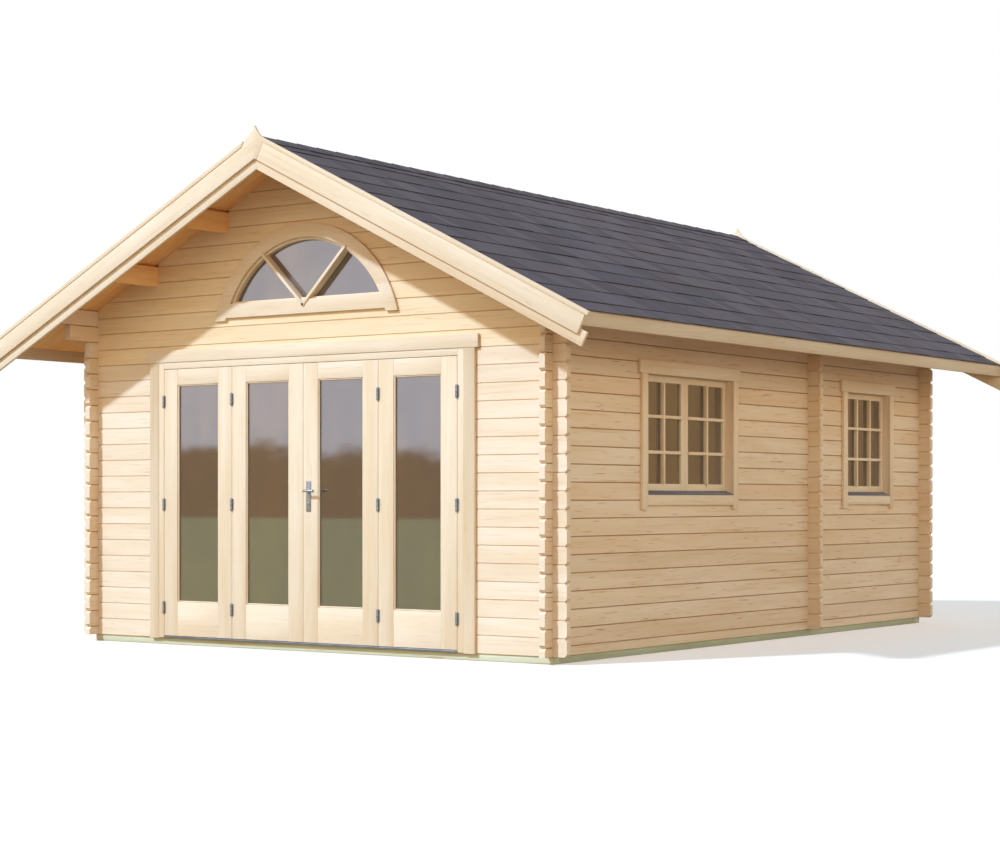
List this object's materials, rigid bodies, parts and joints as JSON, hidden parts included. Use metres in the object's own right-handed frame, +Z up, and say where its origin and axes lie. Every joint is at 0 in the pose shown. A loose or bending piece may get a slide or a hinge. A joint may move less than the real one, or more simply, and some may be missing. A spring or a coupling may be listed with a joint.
{
  "type": "log cabin",
  "caption": "Gable-roofed log cabin with interlocking corner logs, a folding glazed front, a segment window in the gable, side windows and a shingled roof.",
  "frame": {"origin": "on the ground at the middle of the cabin's walls, which is also the middle of its roof", "axes": "+Z up, the front with its folding door faces -Y, +X is to the right of someone who looks at the front"},
  "size_m": [5.1904, 6.532, 3.464],
  "materials": {
    "log_pine": "planed untreated spruce logs",
    "trim_pine": "planed untreated spruce boards",
    "joinery_pine": "planed untreated spruce joinery",
    "roof_pine": "planed untreated spruce",
    "floor_pine": "planed floor boards",
    "treated_timber": "pressure-treated, greenish",
    "bitumen_shingle": "matt mineral-surfaced bitumen",
    "clear_glass": "clear",
    "grey_metal": "satin grey metal"
  },
  "bodies": {
    "root": {"base_beams": "treated_timber", "floor_joists": "treated_timber", "floor_boards": "floor_pine", "front_wall_left": "log_pine", "front_wall_right": "log_pine", "front_gable_wall": "log_pine", "back_wall": "log_pine", "left_wall": "log_pine", "right_wall": "log_pine", "partition_left": "log_pine", "partition_right": "log_pine", "partition_top": "log_pine", "purlins": "roof_pine", "roof_boards_left": "roof_pine", "roof_boards_right": "roof_pine", "shingles_left": "bitumen_shingle", "shingles_right": "bitumen_shingle", "ridge_shingles": "bitumen_shingle", "front_bargeboards": "trim_pine", "front_under_boards": "trim_pine", "front_cap_strips": "trim_pine", "back_bargeboards": "trim_pine", "back_under_boards": "trim_pine", "back_cap_strips": "trim_pine", "eave_fascias": "trim_pine", "door_frame": "joinery_pine", "door_casing": "trim_pine", "door_threshold": "grey_metal", "door_leaf_1": "joinery_pine", "door_leaf_2": "joinery_pine", "door_leaf_3": "joinery_pine", "door_leaf_4": "joinery_pine", "door_glass": "clear_glass", "door_hinges": "grey_metal", "door_handle": "grey_metal", "lunette_casing": "trim_pine", "lunette_frame": "joinery_pine", "lunette_glass": "clear_glass", "window_casings": "trim_pine", "window_frames": "joinery_pine", "window_sashes": "joinery_pine", "window_glass": "clear_glass", "window_sills": "grey_metal"}
  },
  "joints": []
}
